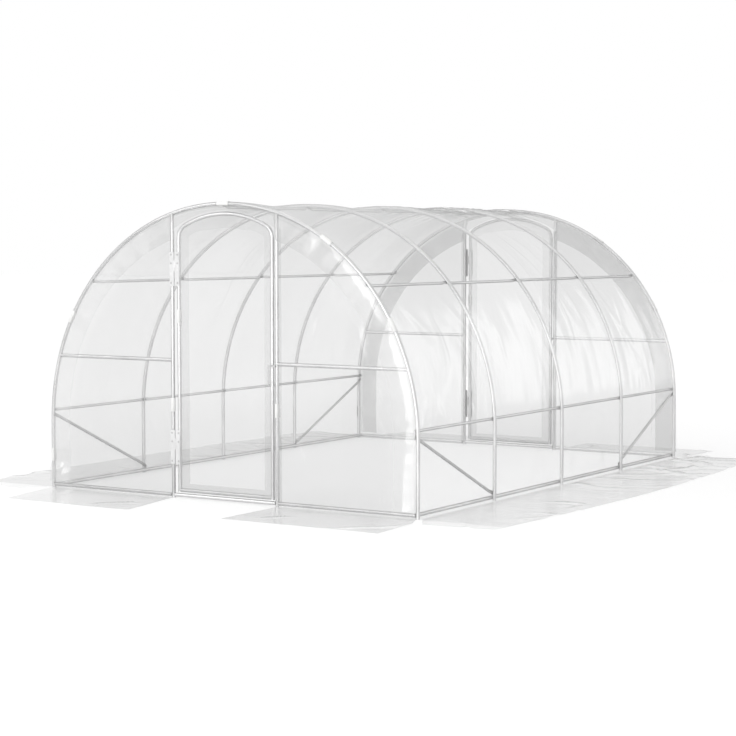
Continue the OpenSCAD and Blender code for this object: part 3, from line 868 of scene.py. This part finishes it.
even = [(0, 1.0), (1, 1.0)]
# Painted shade: darkest just above the ground and lighter up the sheet. rim adds painted light along
# the sheet's edge, under the band.
front_film = clear_film(
    "front end film", 0.08,
    [(0, 0.92), (0.04, 0.855), (0.3, 0.875), (0.55, 0.91), (1.0, 0.945), (1.6, 0.96)],
    even, glint=0.85, rim=[(0.84, 0.965), (0.90, 1.0)])
# Painted shade: darker up the sheet, towards the dark band inside the back hoop.
back_film = clear_film(
    "back end film", 0.08, [(0, 0.93), (0.04, 0.90), (0.3, 0.90), (1.0, 0.885), (1.6, 0.87)],
    even, glint=0.80)
end_film("front", -1, 21, front_film)
end_film("back", 1, 41, back_film)


# ---- Door films ----
# Each door is a bent frame covered with the same film. The sheet is turned round the tube
# on all sides and sealed back on itself, which shows as a darker doubled hem inside the
# frame, wider at the top than at the foot.

door_corner_r = 0.090
side_hem, foot_hem, head_hem = 0.073, 0.044, 0.020
# Painted shade: darker towards the foot of the door. Painted light: lighter towards its head.
film_door = clear_film(
    "clear door film", 0.08, [(0, 0.86), (0.4, 0.88), (0.8, 0.925), (1.6, 0.955)], even, glint=0.85)


def door_film(name, e, seed):
    """Film of one door, with its hem."""
    low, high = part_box(f"{name}_door_frame")
    left, right = low.x + hoop_gauge, high.x - hoop_gauge
    bottom, top = low.z + hoop_gauge, high.z - hoop_gauge
    mid, half = (left + right) / 2, (right - left) / 2
    arch_r, corner_r = door_arch_r, door_corner_r
    arch_z = top - arch_r
    corner_x = half - corner_r
    corner_z = arch_z + math.sqrt((arch_r - corner_r) ** 2 - corner_x ** 2)
    corner_at = math.atan2(corner_z - arch_z, corner_x)
    face_y = end_y + hoop_gauge + 0.0006
    skin_r = face_y - end_y

    def head(x):
        """Height of the frame's middle line over x, measured from the door's middle."""
        x = np.abs(x)
        on_arch = arch_z + np.sqrt(np.maximum(arch_r ** 2 - x ** 2, 0))
        past = np.maximum(x - corner_x, 0)
        on_corner = corner_z + np.sqrt(np.maximum(corner_r ** 2 - past ** 2, 0))
        return np.where(x < arch_r * math.cos(corner_at), on_arch, on_corner)

    face_columns, face_rows = 48, 118
    theta = np.linspace(-math.pi / 2, math.pi / 2, face_columns + 1)
    x = half * (0.55 * np.sin(theta) + 0.45 * theta / (math.pi / 2))
    t = np.linspace(0, 1, face_rows + 1)
    z = bottom + (head(x)[None, :] - bottom) * (1 - t[:, None])
    X, Z = np.broadcast_arrays(x[None, :], z)
    near = np.minimum(half - np.abs(X), np.minimum(Z - bottom, head(X) - Z))
    loose = ease(near, 0.014, 0.13)
    relief = (0.0030 + 0.004 * rumple(X, Z, 0.5, 0.9, seed)
              + 0.0010 * rumple(X + 0.1 * Z, Z, 0.16, 1.2, seed + 1)) * loose
    face = np.stack([mid + X, -face_y - relief, Z], -1)
    # The rim of the face, in order: up the left side, over the head, down, and back.
    rim = np.concatenate([face[::-1, 0], face[0, 1:], face[1:, -1], face[-1, -2:0:-1]])
    step = np.roll(rim, -1, 0) - np.roll(rim, 1, 0)
    away = np.stack([-step[:, 2], step[:, 0]], 1)
    away = away / np.linalg.norm(away, axis=1)[:, None]
    for corner in (np.argmin(np.abs(rim[:, 0] - left) + np.abs(rim[:, 2] - bottom)),
                   np.argmin(np.abs(rim[:, 0] - right) + np.abs(rim[:, 2] - bottom))):
        away[corner] = (math.copysign(1, rim[corner, 0] - mid), -1)
    # Round the tube to its back, then in along the hem to meet the sheet.
    # The hem is mitred at the foot, where its side and bottom strips meet.
    up, across = rim[:, 2] - bottom, half - np.abs(rim[:, 0] - mid)
    on_foot = up < 0.004
    hem_in = np.where(on_foot, np.minimum(foot_hem, across * 0.6), np.minimum(side_hem, up / 0.6))
    hem_in = np.where(on_foot & (across < 0.001), 0.0, hem_in)
    on_head = ~on_foot & (rim[:, 2] > arch_z + 0.3)
    hem_in = hem_in + head_hem * np.where(on_head, ease(across, 0.10, 0.24), 0)
    rings = []
    psi = np.linspace(0, math.pi, 9)
    for a in psi:
        ring = rim.copy()
        ring[:, 0] += away[:, 0] * skin_r * math.sin(a)
        ring[:, 2] += away[:, 1] * skin_r * math.sin(a)
        ring[:, 1] = -end_y - skin_r * math.cos(a)
        rings.append(ring)
    for share in (0.15, 0.35, 0.6, 0.85, 1.0):
        ring = rim.copy()
        ring[:, 0] -= away[:, 0] * hem_in * share
        ring[:, 2] -= away[:, 1] * hem_in * share
        slack = 0.004 * rumple(rim[:, 0], rim[:, 2], 0.12, 0.12, seed + 5)
        ring[:, 1] = -end_y + skin_r + slack * share
        rings.append(ring)
    turned = np.array(rings).transpose(1, 0, 2)
    turned = np.concatenate([turned, turned[:1]])[:, ::-1]
    patches = [(face, np.ones((face_rows, face_columns), bool)),
               (turned, np.ones((turned.shape[0] - 1, turned.shape[1] - 1), bool))]
    if e > 0:
        patches = [((points * np.array([1, -1, 1]))[:, ::-1], kept[:, ::-1])
                   for points, kept in patches]
    made = sheet_mesh(f"{name}_door_sheet", patches, film_door)
    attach(made, f"{name}_door")
    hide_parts(f"{name}_door_film")
    return made


door_film("front", -1, 61)
door_film("back", 1, 71)


# ---- Camera, lamps, floor ----
# A pale studio: a white surround, four soft lamps round the tunnel and one overhead, two
# lamps that only show as glints in the film, and a pale floor that doesn't end.

# The camera stands in front on the right, at head height, with a long lens.
camera_data = bpy.data.cameras.new("camera")
camera_data.lens, camera_data.sensor_width = 93.79, 36
camera = bpy.data.objects.new("camera", camera_data)
camera.location = (7.5207, -12.1874, 1.7364)
camera.rotation_euler = (math.radians(90 - 3.827), 0, math.radians(32.137))
bpy.context.collection.objects.link(camera)
bpy.context.scene.camera = camera

world = bpy.data.worlds.new("studio")
bpy.context.scene.world = world
world.use_nodes = True


def seen_by(owner, *rays):
    """1 for these kinds of ray and 0 for the rest."""
    path = owner.node_tree.nodes.new("ShaderNodeLightPath")
    seen = path.outputs[rays[0]]
    for ray in rays[1:]:
        either = shader(owner, "ShaderNodeMath")
        either.operation = "MAXIMUM"
        owner.node_tree.links.new(seen, either.inputs[0])
        owner.node_tree.links.new(path.outputs[ray], either.inputs[1])
        seen = either.outputs["Value"]
    return seen


level = shader(world, "ShaderNodeMapRange", To_Min=0.77, To_Max=1.0)
world.node_tree.links.new(seen_by(world, "Is Camera Ray", "Is Glossy Ray", "Is Transmission Ray"),
                          level.inputs["Value"])
surround = world.node_tree.nodes["Background"]
surround.inputs["Color"].default_value = (1, 1, 1, 1)
world.node_tree.links.new(level.outputs["Result"], surround.inputs["Strength"])


def softbox(name, azimuth, distance, height, width, tall, radiance, aim_z=0.9):
    """Soft lamp at a place round the object. Azimuth 0 is straight in front, 90 on the right."""
    data = bpy.data.lights.new(name, "AREA")
    data.shape = "RECTANGLE"
    data.size, data.size_y = width, tall
    data.energy = radiance * math.pi * width * tall
    lamp = bpy.data.objects.new(name, data)
    a = math.radians(azimuth)
    lamp.location = (distance * math.sin(a), -distance * math.cos(a), height)
    aim = Vector((0, 0, aim_z)) - lamp.location
    lamp.rotation_euler = aim.to_track_quat("-Z", "Y").to_euler()
    bpy.context.collection.objects.link(lamp)
    return lamp


softbox("front_lamp", -4, 9.5, 2.1, 4.0, 4.2, 3.4)
softbox("back_lamp", 152, 21, 6.5, 4.2, 12.0, 1.35)
softbox("right_lamp", 27, 9.5, 1.0, 2.4, 2.0, 3.2)
softbox("left_lamp", -36, 9.5, 5.2, 2.6, 2.6, 3.5)
softbox("top_lamp", 20, 1.0, 7.0, 4.0, 4.0, 1.0)
strip_lamp = softbox("strip_lamp", 137, 14, 3.0, 0.6, 7.0, 4.0)
ridge_lamp = softbox("ridge_lamp", 212, 9, 9.0, 2.2, 2.2, 3.0)
for glint_lamp in (strip_lamp, ridge_lamp):
    glint_lamp.visible_diffuse = False

bpy.ops.object.select_all(action="DESELECT")
bpy.ops.mesh.primitive_plane_add(size=120)
floor = bpy.context.object
floor.name = "floor"
floor_white = bpy.data.materials.new("floor white")
floor_white.use_nodes = True
# The floor reads white to the camera, a little less so by the tunnel.
floor_links = floor_white.node_tree.links
floor_skin = floor_white.node_tree.nodes["Principled BSDF"]
floor_skin.inputs["Base Color"].default_value = (0.65, 0.65, 0.65, 1)
floor_skin.inputs["Roughness"].default_value = 0.9
floor_skin.inputs["Specular IOR Level"].default_value = 0.1
floor_skin.inputs["Emission Color"].default_value = (1, 1, 1, 1)
away = shader(floor_white, "ShaderNodeVectorMath")
away.operation = "LENGTH"
floor_place = shader(floor_white, "ShaderNodeTexCoord")
floor_links.new(floor_place.outputs["Object"], away.inputs[0])
rise = shader(floor_white, "ShaderNodeMapRange", From_Min=3.0, From_Max=8.0, To_Min=0.41, To_Max=0.495)
floor_links.new(away.outputs["Value"], rise.inputs["Value"])
lift = shader(floor_white, "ShaderNodeMath")
lift.operation = "MULTIPLY"
floor_links.new(seen_by(floor_white, "Is Camera Ray", "Is Glossy Ray"), lift.inputs[0])
floor_links.new(rise.outputs["Result"], lift.inputs[1])
floor_links.new(lift.outputs["Value"], floor_skin.inputs["Emission Strength"])
floor.data.materials.append(floor_white)
bpy.context.scene.cycles.transparent_max_bounces = 40
bpy.context.scene.view_settings.view_transform = "Standard"
